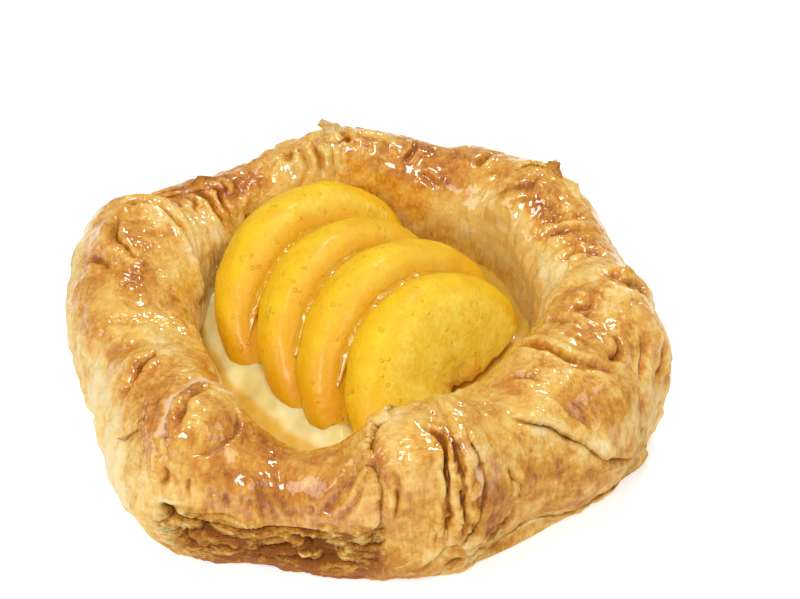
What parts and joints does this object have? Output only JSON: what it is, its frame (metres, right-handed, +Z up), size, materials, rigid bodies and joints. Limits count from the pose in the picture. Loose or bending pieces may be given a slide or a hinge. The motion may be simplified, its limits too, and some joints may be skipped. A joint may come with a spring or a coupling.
{
  "type": "peach danish pastry",
  "caption": "Round laminated Danish pastry with a pleated raised rim, custard filling and overlapping glazed peach slices.",
  "frame": {"origin": "middle of the underside, on the surface the pastry rests on", "axes": "+Z up, +X across the widest width, -Y towards the low front band of the rim"},
  "size_m": [0.1199, 0.1066, 0.034],
  "materials": {
    "crust": "baked laminated dough, flaky, egg-washed and partly glazed",
    "custard": "smooth satin baked custard",
    "peach": "wet, soft, slightly translucent fruit under glaze",
    "glaze": "clear amber sugar glaze, very glossy"
  },
  "bodies": {
    "root": {"pastry_case": "crust", "custard": "custard", "peach_slice_1": "peach", "peach_slice_2": "peach", "peach_slice_3": "peach", "peach_slice_4": "peach", "glaze_bead_1": "glaze", "glaze_bead_2": "glaze", "glaze_bead_3": "glaze"}
  },
  "joints": []
}
